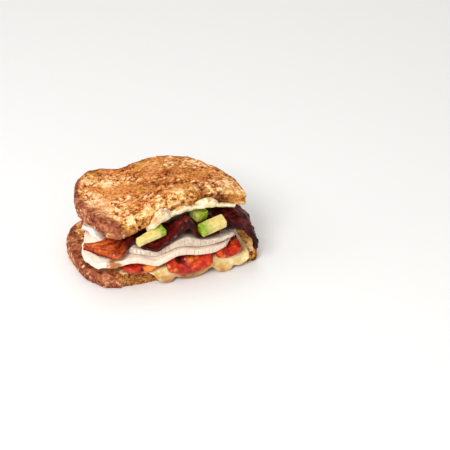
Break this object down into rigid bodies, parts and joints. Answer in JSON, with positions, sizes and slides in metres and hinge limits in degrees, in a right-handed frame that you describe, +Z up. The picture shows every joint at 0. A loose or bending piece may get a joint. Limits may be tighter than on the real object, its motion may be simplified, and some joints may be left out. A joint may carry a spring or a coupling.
{
  "type": "turkey melt",
  "caption": "Half of a grilled turkey melt on toasted multigrain bread, lying flat, its cut side showing turkey, bacon, avocado, tomato and melted cheese.",
  "frame": {"origin": "middle of the flat underside of the lower slice of bread", "axes": "+X along the cut, from the domed crust towards the loaf's bottom crust; +Y from the cut back to the side crust; +Z up through the fillings"},
  "size_m": [0.1273, 0.0892, 0.062],
  "materials": {
    "bread": "matte",
    "cheese": "satin",
    "melt": "satin",
    "tomato": "gloss",
    "turkey": "satin",
    "bacon": "gloss",
    "avocado": "satin"
  },
  "bodies": {
    "root": {"bread_lower": "bread", "bread_upper": "bread", "cheese_lower": "cheese", "melt_upper": "melt", "tomato_front_left": "tomato", "tomato_front_middle": "tomato", "tomato_front_right": "tomato", "tomato_rear_left": "tomato", "tomato_rear_middle": "tomato", "tomato_rear_right": "tomato", "turkey_lower": "turkey", "turkey_upper": "turkey", "bacon_front": "bacon", "bacon_right": "bacon", "bacon_middle": "bacon", "bacon_rear": "bacon", "avocado_left": "avocado", "avocado_right": "avocado", "avocado_back": "avocado"}
  },
  "joints": []
}
